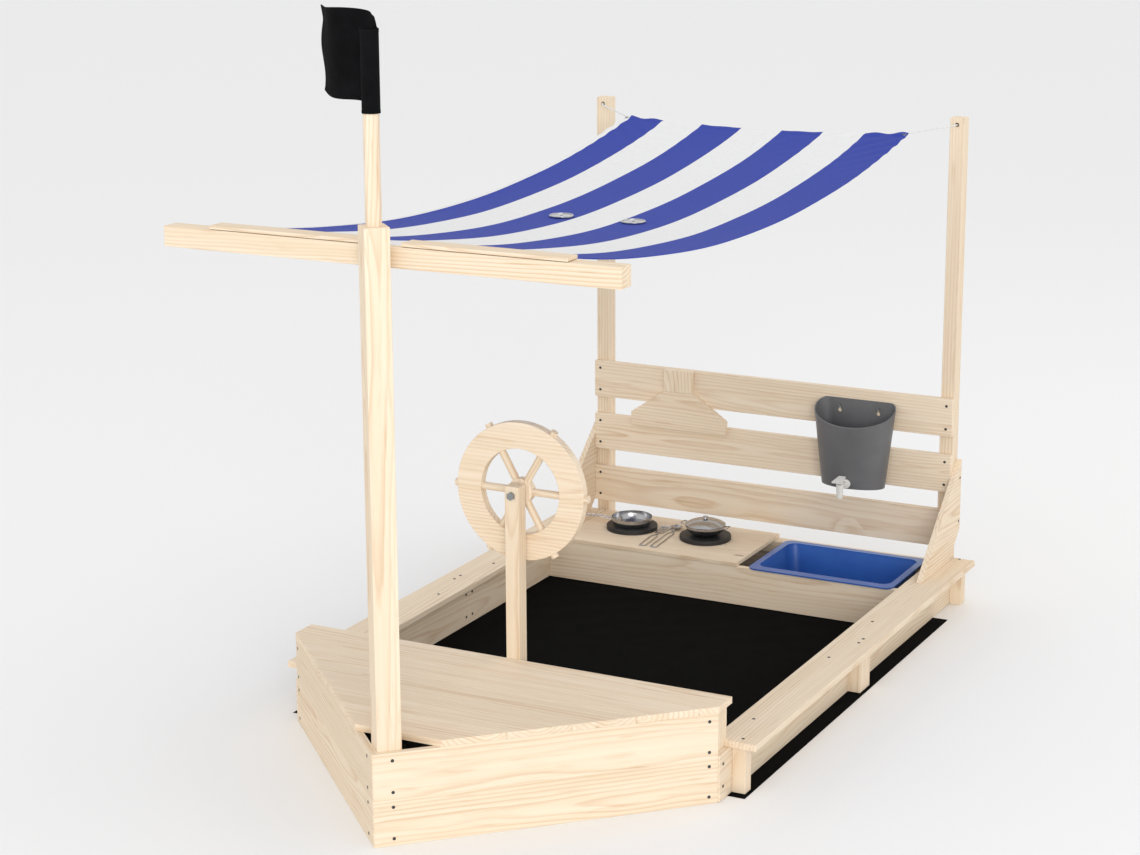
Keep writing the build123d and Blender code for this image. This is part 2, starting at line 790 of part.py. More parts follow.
def canopy_shape():
    """Striped cloth held flat on the yard, then hanging in one curve to the rear corners."""
    lay = Line((canopy_front, yard_top), (canopy_lip, yard_top))
    fall = Spline((canopy_lip, yard_top), (canopy_low_y, canopy_low_z), tangents=[(1, -0.24), (1, 0)])
    rise = Spline((canopy_low_y, canopy_low_z), (canopy_rear, canopy_rear_z), tangents=[(1, 0), (1, 0.24)])
    lower = [lay, fall, rise]
    upper = [Edge(edge.wrapped).moved(Location((0, cloth, 0))) for edge in lower]
    ends = [
        Line((canopy_front, yard_top), (canopy_front, yard_top + cloth)),
        Line((canopy_rear, canopy_rear_z), (canopy_rear, canopy_rear_z + cloth)),
    ]
    section = Plane.YZ * make_face(lower + upper + ends)
    return Pos(-canopy_half, 0, 0) * extrude(section, 2 * canopy_half)


canopy = canopy_shape()
drains = []
for side in (-1, 1):
    x = side * drain_x
    canopy -= Pos(x, canopy_low_y, canopy_low_z) * Cylinder(4, 20)
    disc = Cylinder(drain_dia / 2, 1.5) + Pos(0, 0, 1.2) * Torus(drain_dia / 2 - 2, 1.4)
    disc -= Cylinder(4, 20)
    drains.append(Pos(x, canopy_low_y, canopy_low_z + cloth + drain_lift) * disc)
put("canopy", canopy)
put("canopy_drains", *drains)


def tie_cord_shape():
    """A taut cord from the canopy's rear corner, through the post, to a knot behind it."""
    start = (canopy_half + cord_dia / 2, canopy_rear - cord_dia, canopy_rear_z + cloth / 2)
    bend = (post_middle, y_post - 12, tie_hole_z)
    end = (post_middle, y_back, tie_hole_z)
    path = FilletPolyline(start, bend, end, radius=tie_bend)
    section = Plane(origin=path @ 0, z_dir=path % 0) * Circle(cord_dia / 2)
    return sweep(section, path=path)


tie = tie_cord_shape()
put("tie_cord_right", tie)
put("tie_cord_left", mirrored(tie))
knot = fillet(along_y(post_middle, tie_hole_z, y_back, y_back + knot_dia * 0.8, knot_dia / 2).edges(), 3)
put("cord_knots", knot, mirrored(knot))

# ---- Countersunk screws ----
heads = []


def screw(point, normal):
    """A screw head on a face, and its twin on the other side of the ship."""
    plane = Plane(origin=point, z_dir=normal)
    base = (Align.CENTER, Align.CENTER, Align.MIN)
    head = plane * Cylinder(screw_head / 2, screw_proud, align=base)
    heads.extend([head, mirrored(head)])


def board_rows(z0, inset=21):
    """Heights of the two screws in the end of a board that starts at z0."""
    return (z0 + inset, z0 + board_width - inset)


bow_face = (1, -1, 0)
near_tip = 32
near_corner = 16
for level in (0, 1):
    for z in board_rows(level * board_width, 17):
        screw((bow_side - near_corner, y_bow - near_corner, z), bow_face)
        screw((near_tip, y_tip + near_tip, z), bow_face)
for z in (34, 88):
    screw((wall_outside, y_bow + 18, z), (1, 0, 0))
for offset in (0.5, 1.5):
    for z in (24, 88):
        screw((wall_inside, y_bow + middle_leg + offset * leg_side, z), (-1, 0, 0))
leg_line = wall_outside + leg_side / 2 + 3
for front in leg_fronts:
    screw((leg_line, front + leg_side / 2, z_seat), (0, 0, 1))
for offset in (209, 678, 981):
    screw((wall_inside + board_thick / 2, y_bow + offset, z_seat), (0, 0, 1))
for number in range(3):
    for z in board_rows(backrest_bottom + number * backrest_pitch):
        screw((post_middle + 2, y_board, z), (0, -1, 0))
for drop in (51, 176):
    screw((wall_outside, y_post + post_side / 2, brace_top - drop), (1, 0, 0))
put("board_screws", *heads)

os.makedirs("parts", exist_ok=True)
for name, shape in parts.items():
    export_step(shape, f"parts/{name}.step")
print(len(parts), "nodes written; tie cord bend radius", tie_bend, "mm")
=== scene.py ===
import random
from math import cos, exp, pi, radians, sin

import bpy
from mathutils import Euler, Matrix, Vector


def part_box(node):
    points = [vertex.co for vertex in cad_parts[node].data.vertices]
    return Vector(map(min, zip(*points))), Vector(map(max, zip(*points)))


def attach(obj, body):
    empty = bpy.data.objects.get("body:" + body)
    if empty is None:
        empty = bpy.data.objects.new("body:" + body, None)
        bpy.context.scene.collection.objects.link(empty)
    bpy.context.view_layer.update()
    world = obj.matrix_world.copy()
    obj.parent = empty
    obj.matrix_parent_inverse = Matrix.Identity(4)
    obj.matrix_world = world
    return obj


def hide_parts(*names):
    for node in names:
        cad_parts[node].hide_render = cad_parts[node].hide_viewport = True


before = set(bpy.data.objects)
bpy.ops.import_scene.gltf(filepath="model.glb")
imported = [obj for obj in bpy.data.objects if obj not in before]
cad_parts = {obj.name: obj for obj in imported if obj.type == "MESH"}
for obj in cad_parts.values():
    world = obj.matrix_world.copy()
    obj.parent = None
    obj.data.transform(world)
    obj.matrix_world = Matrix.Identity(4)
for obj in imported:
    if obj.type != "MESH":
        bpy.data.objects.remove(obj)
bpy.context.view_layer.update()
random.seed(7)

MM = 0.001
RIGHT, LEFT = 1, -1


# ---- Camera ----
CAMERA_PLACE = (2.6956, -5.3872, 2.2432)
CAMERA_YAW = 0.4772
CAMERA_PITCH = -0.2535
CAMERA_ROLL = -0.005
LENS = 79.62
SENSOR_WIDTH = 36


def make_camera():
    """A long lens in front of the bow, to its right and above the canopy."""
    camera = bpy.data.cameras.new("camera")
    camera.lens = LENS
    camera.sensor_width = SENSOR_WIDTH
    camera.clip_end = 60
    holder = bpy.data.objects.new("camera", camera)
    bpy.context.scene.collection.objects.link(holder)
    yaw = Matrix.Rotation(CAMERA_YAW, 4, "Z")
    pitch = Matrix.Rotation(pi / 2 + CAMERA_PITCH, 4, "X")
    roll = Matrix.Rotation(CAMERA_ROLL, 4, "Z")
    holder.matrix_world = Matrix.Translation(CAMERA_PLACE) @ (yaw @ pitch @ roll)
    bpy.context.scene.camera = holder


make_camera()


# ---- Mesh helpers ----
def add_object(name, data, material, body="hull"):
    """Links a new piece, gives it its material and lets it ride on a body."""
    piece = bpy.data.objects.new(name, data)
    bpy.context.scene.collection.objects.link(piece)
    piece.data.materials.append(material)
    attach(piece, body)
    return piece


def slab(name, us, vs, surface, material, body="hull"):
    """A closed thin sheet: surface(u, v) gives its middle and half its thickness as vectors."""
    verts = []
    for side in (1, -1):
        for v in vs:
            for u in us:
                middle, half = surface(u, v)
                verts.append(middle + side * half)
    wide, high = len(us), len(vs)
    lower = wide * high
    faces = []
    for row in range(high - 1):
        for column in range(wide - 1):
            a = row * wide + column
            quad = (a, a + 1, a + wide + 1, a + wide)
            faces.append(quad)
            faces.append(tuple(lower + index for index in reversed(quad)))
    rim = [column for column in range(wide)]
    rim += [row * wide + wide - 1 for row in range(1, high)]
    rim += [(high - 1) * wide + column for column in range(wide - 2, -1, -1)]
    rim += [row * wide for row in range(high - 2, 0, -1)]
    for index, a in enumerate(rim):
        b = rim[(index + 1) % len(rim)]
        faces.append((b, a, a + lower, b + lower))
    mesh = bpy.data.meshes.new(name)
    mesh.from_pydata(verts, [], faces)
    mesh.update()
    mesh.shade_smooth()
    mesh.set_sharp_from_angle(angle=radians(60))
    return add_object(name, mesh, material, body)


def spread(low, high, steps):
    return [low + (high - low) * step / steps for step in range(steps + 1)]


def smooth_step(low, high, value):
    t = min(max((value - low) / (high - low), 0), 1)
    return t * t * (3 - 2 * t)


def wire(name, splines, radius, material, body="hull", cyclic=False):
    """Round wire or cord along one or more lists of points."""
    curve = bpy.data.curves.new(name, "CURVE")
    curve.dimensions = "3D"
    curve.bevel_depth = 1             # each point's own radius sets the thickness
    curve.bevel_resolution = 4
    curve.resolution_u = 12
    curve.use_fill_caps = True
    for points in splines:
        spline = curve.splines.new("NURBS")
        spline.points.add(len(points) - 1)
        for place, point in zip(spline.points, points):
            place.co = (*point, 1)
            place.radius = radius
        spline.order_u = 3
        spline.use_endpoint_u = not cyclic
        spline.use_cyclic_u = cyclic
    return add_object(name, curve, material, body)


# ---- Shader helpers ----
class Shader:
    """A material with one Principled shader and short calls to add and join nodes."""

    def __init__(self, name, **sockets):
        self.material = bpy.data.materials.new(name)
        self.material.use_nodes = True
        self.tree = self.material.node_tree
        self.surface = self.tree.nodes["Principled BSDF"]
        for socket, value in sockets.items():
            self.surface.inputs[socket.replace("_", " ")].default_value = value

    def node(self, kind, inputs=None, **settings):
        return add_node(self.tree, kind, inputs, **settings)

    def math(self, operation, *values):
        return add_math(self.tree, operation, *values)

    def finish(self, color=None, roughness=None, height=None, depth=0.3, strength=0.4):
        """Joins what varies over the surface; depth is the bump's height in millimetres."""
        if color:
            self.tree.links.new(color, self.surface.inputs["Base Color"])
        if roughness:
            self.tree.links.new(roughness, self.surface.inputs["Roughness"])
        if height:
            bump = self.node("Bump", {"Strength": strength, "Distance": depth * MM, "Height": height})
            self.tree.links.new(bump.outputs["Normal"], self.surface.inputs["Normal"])
        return self.material


def add_node(tree, kind, inputs=None, **settings):
    node = tree.nodes.new("ShaderNode" + kind)
    for key, value in settings.items():
        setattr(node, key, value)
    for key, value in (inputs or {}).items():
        if isinstance(value, bpy.types.NodeSocket):
            tree.links.new(value, node.inputs[key])
        else:
            node.inputs[key].default_value = value
    return node


def add_math(tree, operation, *values):
    inputs = dict(enumerate(values))
    return add_node(tree, "Math", inputs, operation=operation).outputs[0]


def ramp(tree, factor, stops):
    """A colour ramp with stops given as (place, (red, green, blue))."""
    node = add_node(tree, "ValToRGB", {"Fac": factor})
    elements = node.color_ramp.elements
    while len(elements) < len(stops):
        elements.new(0.5)
    for element, (place, color) in zip(elements, stops):
        element.position = place
        element.color = (*color, 1)
    return node.outputs["Color"]


def scaled(tree, vector, scale):
    return add_node(tree, "VectorMath", {0: vector, 1: scale}, operation="MULTIPLY").outputs[0]


def noise(tree, vector, scale, detail=2.0, roughness=0.5):
    inputs = {"Vector": vector, "Scale": scale, "Detail": detail, "Roughness": roughness}
    return add_node(tree, "TexNoise", inputs).outputs["Fac"]


# ---- Wood ----
PALE_WOOD = (0.87, 0.755, 0.60)
WARM_WOOD = (0.80, 0.665, 0.495)
LATE_WOOD = (0.60, 0.395, 0.225)
KNOT_WOOD = (0.36, 0.20, 0.10)
RING_WIDTH = 0.0085


def make_grain_group():
    """Rings round a pith along X, with wandering grain, fibres and a few knots."""
    tree = bpy.data.node_groups.new("wood_grain", "ShaderNodeTree")
    tree.interface.new_socket("Vector", in_out="INPUT", socket_type="NodeSocketVector")
    tree.interface.new_socket("Tint", in_out="INPUT", socket_type="NodeSocketFloat")
    tree.interface.new_socket("Color", in_out="OUTPUT", socket_type="NodeSocketColor")
    tree.interface.new_socket("Height", in_out="OUTPUT", socket_type="NodeSocketFloat")
    tree.interface.new_socket("Roughness", in_out="OUTPUT", socket_type="NodeSocketFloat")
    given = tree.nodes.new("NodeGroupInput")
    result = tree.nodes.new("NodeGroupOutput")
    place = given.outputs["Vector"]

    cells = add_node(tree, "TexVoronoi", {"Vector": scaled(tree, place, (3.4, 7.0, 7.0)), "Scale": 1.0})
    chance = add_node(tree, "SeparateColor", {"Color": cells.outputs["Color"]}).outputs[0]
    chosen = add_math(tree, "GREATER_THAN", chance, 0.66)
    near = add_node(
        tree,
        "MapRange",
        {"Value": cells.outputs["Distance"], "From Min": 0.26, "From Max": 0.03},
        interpolation_type="SMOOTHSTEP",
    ).outputs[0]
    core = add_node(
        tree,
        "MapRange",
        {"Value": cells.outputs["Distance"], "From Min": 0.085, "From Max": 0.045},
        interpolation_type="SMOOTHSTEP",
    ).outputs[0]
    swell = add_math(tree, "MULTIPLY", near, chosen)
    knot = add_math(tree, "MULTIPLY", core, chosen)

    wander = noise(tree, scaled(tree, place, (1.5, 5.0, 5.0)), 1.0, 2.0)
    parts = add_node(tree, "SeparateXYZ", {"Vector": place})
    across = add_math(tree, "MULTIPLY_ADD", wander, 0.055, parts.outputs["Y"])
    deep = add_math(tree, "MULTIPLY_ADD", wander, -0.03, parts.outputs["Z"])
    flat = add_node(tree, "CombineXYZ", {"Y": across, "Z": deep}).outputs[0]
    radius = add_node(tree, "VectorMath", {0: flat}, operation="LENGTH").outputs["Value"]
    ripple = noise(tree, scaled(tree, place, (6.0, 60.0, 60.0)), 1.0, 3.0)
    unevenness = add_math(tree, "MULTIPLY", ripple, 0.55)
    turns = add_math(tree, "MULTIPLY_ADD", radius, 1 / RING_WIDTH, unevenness)
    turns = add_math(tree, "MULTIPLY_ADD", swell, 1.1, turns)
    phase = add_math(tree, "FRACT", turns)
    late = ramp(
        tree,
        phase,
        [(0.0, (0.05, 0.05, 0.05)), (0.45, (0.12, 0.12, 0.12)), (0.86, (1, 1, 1)), (1.0, (0.1, 0.1, 0.1))],
    )
    strength = noise(tree, scaled(tree, place, (0.7, 16.0, 16.0)), 1.0, 3.0)
    strength = add_node(
        tree,
        "MapRange",
        {"Value": strength, "From Min": 0.3, "From Max": 0.72, "To Min": 0.15, "To Max": 1.0},
    ).outputs[0]
    ring = add_math(tree, "MULTIPLY", late, strength)
    fibre = noise(tree, scaled(tree, place, (9.0, 420.0, 420.0)), 1.0, 4.0, 0.65)
    streak = noise(tree, scaled(tree, place, (1.3, 46.0, 46.0)), 1.0, 3.0, 0.6)

    warm = add_node(
        tree, "MapRange", {"Value": streak, "From Min": 0.32, "From Max": 0.72}
    ).outputs[0]
    base = ramp(tree, warm, [(0.0, PALE_WOOD), (1.0, WARM_WOOD)])
    flecks = noise(tree, scaled(tree, place, (7.0, 95.0, 95.0)), 1.0, 2.0)
    fleck = add_node(
        tree, "MapRange", {"Value": flecks, "From Min": 0.60, "From Max": 0.76, "To Max": 0.34}
    ).outputs[0]
    amount = add_math(tree, "MULTIPLY_ADD", fibre, 0.30, add_math(tree, "MULTIPLY", ring, 0.66))
    amount = add_math(tree, "ADD", amount, add_math(tree, "SUBTRACT", fleck, 0.10))
    mixed = add_node(
        tree,
        "Mix",
        {"Factor": amount, 6: base, 7: (*LATE_WOOD, 1)},
        data_type="RGBA",
    ).outputs[2]
    knotted = add_node(
        tree,
        "Mix",
        {"Factor": add_math(tree, "MULTIPLY", knot, 0.62), 6: mixed, 7: (*KNOT_WOOD, 1)},
        data_type="RGBA",
    ).outputs[2]
    tinted = add_node(
        tree, "HueSaturation", {"Color": knotted, "Value": given.outputs["Tint"], "Saturation": 1.02}
    ).outputs[0]
    height = add_math(tree, "MULTIPLY_ADD", fibre, 0.7, add_math(tree, "MULTIPLY", ring, -0.5))
    rough = add_math(tree, "MULTIPLY_ADD", fibre, 0.22, 0.52)
    tree.links.new(tinted, result.inputs["Color"])
    tree.links.new(height, result.inputs["Height"])
    tree.links.new(rough, result.inputs["Roughness"])
    return tree


GRAIN_TURNS = {
    "x": (0, 0, 0),
    "spokes": (0, 0, 0),
    "y": (0, 0, -90),
    "z": (0, 90, 0),
    "bow_right": (0, 0, -45),
    "bow_left": (0, 0, 45),
}


SPOKE_ANGLE = pi / 3


def along_spokes(shader, place):
    """The place measured along and across the nearest spoke, from the hub's middle."""
    parts = shader.node("SeparateXYZ", {"Vector": place})
    angle = shader.math("ARCTAN2", parts.outputs["Z"], parts.outputs["X"])
    spoke = shader.math("ROUND", shader.math("DIVIDE", angle, SPOKE_ANGLE))
    turn = shader.math("MULTIPLY", spoke, SPOKE_ANGLE)
    turned = shader.node("VectorRotate", {"Vector": place, "Angle": turn}, rotation_type="Y_AXIS").outputs[0]
    apart = shader.node("CombineXYZ", {"X": spoke}).outputs[0]
    return shader.node("VectorMath", {0: turned, 1: apart}, operation="ADD").outputs[0]


def wood(group, node, grain, mirror=False):
    """Wood for one CAD node: its own pith and tilt, its grain along the board."""
    low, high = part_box(node)
    middle = [(a + b) / 2 for a, b in zip(low, high)]
    shader = Shader("wood_" + node, IOR=1.45)
    shader.surface.inputs["Specular IOR Level"].default_value = 0.28
    place = shader.node("TexCoord").outputs["Object"]
    if mirror:
        middle[0] = (high[0] + max(0, -low[0])) / 2
        parts = shader.node("SeparateXYZ", {"Vector": place})
        side = shader.math("SIGN", parts.outputs["X"])
        inward = shader.math("MULTIPLY", parts.outputs["X"], side)
        ahead = parts.outputs["Y"]
        if grain == "y":
            ahead = shader.math("MULTIPLY_ADD", side, 0.37, ahead)
        place = shader.node("CombineXYZ", {"X": inward, "Y": ahead, "Z": parts.outputs["Z"]}).outputs[0]
    local = shader.node("VectorMath", {0: place, 1: tuple(middle)}, operation="SUBTRACT").outputs[0]
    if grain == "spokes":
        local = along_spokes(shader, local)
    tilt = [random.uniform(-1.6, 1.6) for _ in range(3)]
    turn = Euler([radians(a + b) for a, b in zip(GRAIN_TURNS[grain], tilt)])
    pith = random.uniform(0.02, 0.07)
    around = random.uniform(0, 2 * pi)
    offset = (random.uniform(-20, 20), pith * cos(around), pith * sin(around))
    mapped = shader.node("Mapping", {"Vector": local, "Rotation": turn, "Location": offset}).outputs[0]
    shade = random.uniform(0.965, 1.02)
    grain_node = shader.node("Group", node_tree=group)
    shader.tree.links.new(mapped, grain_node.inputs["Vector"])
    grain_node.inputs["Tint"].default_value = shade
    out = grain_node.outputs
    return shader.finish(out["Color"], out["Roughness"], out["Height"], depth=0.5, strength=0.35)


WOOD_NODES = {
    "x": [
        "bulkhead_lower", "bulkhead_upper", "bench_board_1", "bench_board_2", "bench_board_3",
        "bench_board_4", "bench_board_5", "yard", "sandpit_divider", "rear_wall", "kitchen_rail",
        "countertop", "backrest_board_lower", "backrest_board_middle", "backrest_board_upper",
        "hood_panel", "wheel_ring",
    ],
    "spokes": ["wheel_spokes"],
    "y": ["side_wall_right", "side_wall_left", "seat_right", "seat_left"],
    "z": ["mast", "flag_pole", "hood_chimney", "wheel_post", "wheel_hub"],
    "bow_right": ["bow_board_lower_right", "bow_board_upper_right"],
    "bow_left": ["bow_board_lower_left", "bow_board_upper_left"],
}
PAIRED_WOOD = {
    "bow_corner_posts": "z", "seat_legs": "z", "rear_posts": "z",
    "braces": "y", "bench_battens": "y", "canopy_battens": "x",
}


def dress(node, material):
    """Puts one material on every slot of a CAD node."""
    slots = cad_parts[node].data.materials
    slots.clear()
    slots.append(material)


def dress_wood():
    group = make_grain_group()
    for grain, nodes in WOOD_NODES.items():
        for node in nodes:
            dress(node, wood(group, node, grain))
    for node, grain in PAIRED_WOOD.items():
        dress(node, wood(group, node, grain, mirror=True))


# ---- Other materials ----
def weave(shader, place, pitch):
    """Height of a plain weave: threads along X and Y crossing over and under."""
    parts = shader.node("SeparateXYZ", {"Vector": place})
    waves = [
        shader.math("SINE", shader.math("MULTIPLY", parts.outputs[axis], 2 * pi / pitch))
        for axis in ("X", "Y")
    ]
    return shader.math("MULTIPLY", *waves)


STRIPE_COUNT = 7
WHITE_EDGE = 0.022                    # share of the canopy's width
BLUE = (0.032, 0.056, 0.345)
WHITE = (0.77, 0.77, 0.775)


def canvas_material():
    """Woven polyester canvas with lengthwise stripes and a white edge on the left."""
    shader = Shader("striped_canvas", Sheen_Weight=0.03, Sheen_Roughness=0.6, Specular_IOR_Level=0.08)
    place = shader.node("TexCoord").outputs["Object"]
    low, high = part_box("canopy")
    across = shader.node("SeparateXYZ", {"Vector": place}).outputs["X"]
    wobble = noise(shader.tree, scaled(shader.tree, place, (40, 14, 1)), 1.0, 2.0)
    across = shader.math("MULTIPLY_ADD", shader.math("SUBTRACT", wobble, 0.5), 0.0012, across)
    share = shader.math("DIVIDE", shader.math("SUBTRACT", across, low[0]), high[0] - low[0])
    band = shader.math("FLOOR", shader.math("MULTIPLY", share, STRIPE_COUNT))
    odd = shader.math("MODULO", band, 2)
    edge = shader.math("LESS_THAN", share, WHITE_EDGE)
    pale = shader.math("MAXIMUM", odd, edge)
    stripes = shader.node(
        "Mix", {"Factor": pale, 6: (*BLUE, 1), 7: (*WHITE, 1)}, data_type="RGBA"
    ).outputs[2]
    threads = noise(shader.tree, scaled(shader.tree, place, (900, 60, 60)), 1.0, 2.0)
    cross = noise(shader.tree, scaled(shader.tree, place, (60, 900, 60)), 1.0, 2.0)
    grain = shader.math("ADD", threads, cross)
    value = shader.math("MULTIPLY_ADD", grain, 0.22, 0.78)
    color = shader.node("HueSaturation", {"Color": stripes, "Value": value}).outputs[0]
    rough = shader.math("MULTIPLY_ADD", threads, 0.2, 0.62)
    height = shader.math("MULTIPLY_ADD", grain, 0.5, weave(shader, place, 0.0021))
    return shader.finish(color, rough, height, depth=0.25, strength=0.3)


def cloth_material(name, color, fleck, pitch, rough=0.85):
    """Plain dark cloth with a visible weave and uneven dye."""
    shader = Shader(name, Sheen_Weight=0.008, Sheen_Roughness=0.5, Specular_IOR_Level=0.03)
    place = shader.node("TexCoord").outputs["Object"]
    blotch = noise(shader.tree, place, 22, 4.0)
    tint = ramp(shader.tree, blotch, [(0.3, color), (0.75, fleck)])
    fluff = noise(shader.tree, place, 700, 3.0)
    turned = shader.node("VectorRotate", {"Vector": place, "Angle": radians(33)}).outputs[0]
    height = shader.math("MULTIPLY_ADD", fluff, 0.8, weave(shader, turned, pitch))
    return shader.finish(tint, shader.math("MULTIPLY_ADD", fluff, 0.12, rough - 0.06), height, 0.3, 0.5)


def moulded_material(name, color, scuff, rough, coat=0.0):
    """Moulded plastic with a fine sparkled skin and slight wear."""
    shader = Shader(name, Coat_Weight=coat)
    place = shader.node("TexCoord").outputs["Object"]
    wear = noise(shader.tree, place, 9, 5.0, 0.6)
    tint = ramp(shader.tree, wear, [(0.35, color), (0.8, scuff)])
    skin = noise(shader.tree, place, 1500, 2.0)
    smear = noise(shader.tree, scaled(shader.tree, place, (30, 30, 6)), 1.0, 3.0)
    return shader.finish(tint, shader.math("MULTIPLY_ADD", smear, 0.16, rough - 0.08), skin, 0.08, 0.35)


def metal_material(name, color, rough, anisotropy=0.0):
    """Metal with fine brush marks along Z and faint smears."""
    shader = Shader(name, Metallic=1.0, Anisotropic=anisotropy)
    place = shader.node("TexCoord").outputs["Object"]
    brush = noise(shader.tree, scaled(shader.tree, place, (900, 900, 60)), 1.0, 3.0)
    smear = noise(shader.tree, place, 45, 4.0)
    tint = ramp(shader.tree, smear, [(0.3, color), (0.8, tuple(c * 0.86 for c in color))])
    return shader.finish(tint, shader.math("MULTIPLY_ADD", smear, 0.14, rough - 0.07), brush, 0.02, 0.3)


def cord_material():
    """White braided cord: slanted strands, with painted shade greying the grooves between them."""
    shader = Shader("white_cord", Sheen_Weight=0.2)
    place = shader.node("TexCoord").outputs["Object"]
    turned = shader.node("VectorRotate", {"Vector": place, "Angle": radians(40)}).outputs[0]
    strands = weave(shader, turned, 0.0016)
    # Painted shade: the colour turns grey where the strand bump is low, in the grooves between strands.
    raised = shader.math("MULTIPLY_ADD", strands, 0.5, 0.5)
    tint = ramp(shader.tree, raised, [(0, (0.6, 0.6, 0.59)), (1, (0.86, 0.86, 0.85))])
    rough = shader.math("MULTIPLY_ADD", strands, 0.05, 0.75)
    return shader.finish(tint, rough, strands, 0.3, 0.6)


def make_materials():
    return {
        "canvas": canvas_material(),
        "flag": cloth_material("black_cloth", (0.0045, 0.0045, 0.005), (0.008, 0.008, 0.009), 0.0014),
        "ground": cloth_material(
            "ground_fleece", (0.0012, 0.0012, 0.0012), (0.0028, 0.0028, 0.0028), 0.0034, 0.9
        ),
        "cord": cord_material(),
        "grey": moulded_material("grey_plastic", (0.125, 0.126, 0.129), (0.16, 0.16, 0.165), 0.42),
        "blue": moulded_material("blue_plastic", (0.026, 0.105, 0.40), (0.04, 0.14, 0.46), 0.32, 0.15),
        "white": moulded_material("white_plastic", (0.80, 0.79, 0.75), (0.70, 0.69, 0.64), 0.35, 0.1),
        "black": moulded_material("black_discs", (0.008, 0.008, 0.008), (0.02, 0.02, 0.02), 0.5),
        "zinc": metal_material("zinc_steel", (0.32, 0.33, 0.34), 0.33),
        "screws": metal_material("dark_screws", (0.09, 0.09, 0.095), 0.42),
        "steel": metal_material("stainless_steel", (0.46, 0.46, 0.47), 0.2, anisotropy=0.3),
        "spun": metal_material("turned_aluminium", (0.55, 0.55, 0.56), 0.24, anisotropy=0.6),
    }


CAD_FINISHES = {
    "grey": ["water_tank"],
    "blue": ["sink_tub"],
    "white": ["tap_body", "tap_nut", "tap_lever"],
    "black": ["burner_discs"],
    "zinc": ["wheel_bolt", "wheel_nut", "tank_screws"],
    "screws": ["board_screws"],
    "steel": ["pan", "pot", "pot_lid", "spatula", "spoon"],
    "spun": ["canopy_drains"],
}


# ---- Canopy ----
CLOTH = 1.3 * MM
HEM_WIDE = 22 * MM
HEM_EXTRA = 1.3 * MM


def canopy_piece(materials):
    """One cloth clamped on the yard, hanging in a long curve to two pulled rear corners."""
    low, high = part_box("canopy")
    yard_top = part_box("yard")[1][2]
    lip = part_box("yard")[1][1] + 4 * MM
    drain_low, drain_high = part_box("canopy_drains")
    low_y = (drain_low[1] + drain_high[1]) / 2
    low_z = low[2] + 0.2 * MM
    rear_z = high[2] - 1.4 * MM
    half = high[0]

    def hang(y):
        if y < lip:
            return yard_top + CLOTH / 2
        if y < low_y:
            return low_z + (yard_top + CLOTH / 2 - low_z) * ((low_y - y) / (low_y - lip)) ** 1.87
        return low_z + (rear_z - low_z) * ((y - low_y) / (high[1] - low_y)) ** 2.08

    def surface(u, v):
        y = low[1] + v * (high[1] - low[1])
        free = smooth_step(lip, lip + 0.25, y)
        back = smooth_step(low_y, high[1], y)
        waist = sin(pi * min(max((y - lip) / (high[1] - lip), 0), 1))
        x = u * half * (1 - 0.012 * waist)
        y -= 0.014 * back ** 3 * (1 - u * u)
        z = hang(y)
        z += free * 0.005 * u ** 4 * waist
        z -= 0.010 * back ** 2 * (1 - u * u)
        corner = exp(-((1 - abs(u)) * half + (high[1] - y)) / 0.16)
        slant = (1 - abs(u)) * half - (high[1] - y)
        z += 0.0035 * corner * sin(slant * 90)
        pull = exp(-(y - lip) / 0.22) * free
        z += 0.0016 * pull * sin(x * 55) + 0.0009 * free * sin(x * 23 + y * 5) * sin(y * 9 + 1)
        edge = min((1 - abs(u)) * half, (high[1] - low[1]) * (1 - v))
        thick = CLOTH + HEM_EXTRA * (1 - smooth_step(HEM_WIDE - 2 * MM, HEM_WIDE, edge))
        stitch = abs(edge - HEM_WIDE + 5 * MM)
        thick -= 0.7 * MM * (1 - smooth_step(0, 1.5 * MM, stitch))
        return Vector((x, y, z)), Vector((0, 0, thick / 2))

    hem = [0, 1 * MM, 10 * MM, 15.5 * MM, 17 * MM, 18.5 * MM, 20 * MM, 22 * MM, 26 * MM]
    inner = spread(-half + 40 * MM, half - 40 * MM, 84)
    left = [(-half + d) / half for d in hem]
    right = [(half - d) / half for d in reversed(hem)]
    us = left + [x / half for x in inner] + right
    length = high[1] - low[1]
    vs = spread(0, 0.97, 150) + [1 - d / length for d in reversed(hem)]
    piece = slab("canopy_cloth", us, vs, surface, materials["canvas"])
    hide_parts("canopy")
    eyes = canopy_eyes(materials, surface, half, length)


def canopy_eyes(materials, surface, half, length):
    """Steel eyelets in the rear corners, where the cords are tied."""
    rings = []
    steps = 24
    for side in (RIGHT, LEFT):
        middle, _ = surface(side * (1 - 9 * MM / half), 1 - 9 * MM / length)
        for lift in (1.4 * MM, -1.4 * MM):
            ring = []
            for step in range(steps):
                angle = 2 * pi * step / steps
                x = middle.x + 5.5 * MM * cos(angle)
                y = middle.y + 5.5 * MM * sin(angle)
                ring.append((x, y, middle.z + lift))
            rings.append(ring)
    eyes = wire("canopy_eyelets", rings, 1.1 * MM, materials["zinc"], cyclic=True)
    return eyes


# ---- Tie cords ----
CORD = 4 * MM


def tie_cords(materials):
    """A taut cord each side, from the canopy's rear corner through the post to a knot behind it."""
    post_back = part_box("rear_posts")[1][1]
    for side, name in ((RIGHT, "right"), (LEFT, "left")):
        route = [
            (side * 0.422, 0.988, 1.3117),
            (side * 0.465, 1.0142, 1.3195),
            (side * 0.509, 1.0409, 1.3274),
            (side * 0.529, 1.053, 1.331),
            (side * 0.529, 1.077, 1.331),
            (side * 0.529, post_back, 1.331),
        ]
        line = wire(f"tie_cord_{name}_line", [route], CORD / 2, materials["cord"])
        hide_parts(f"tie_cord_{name}")
        knot = knot_piece(name, Vector(route[-1]), materials)


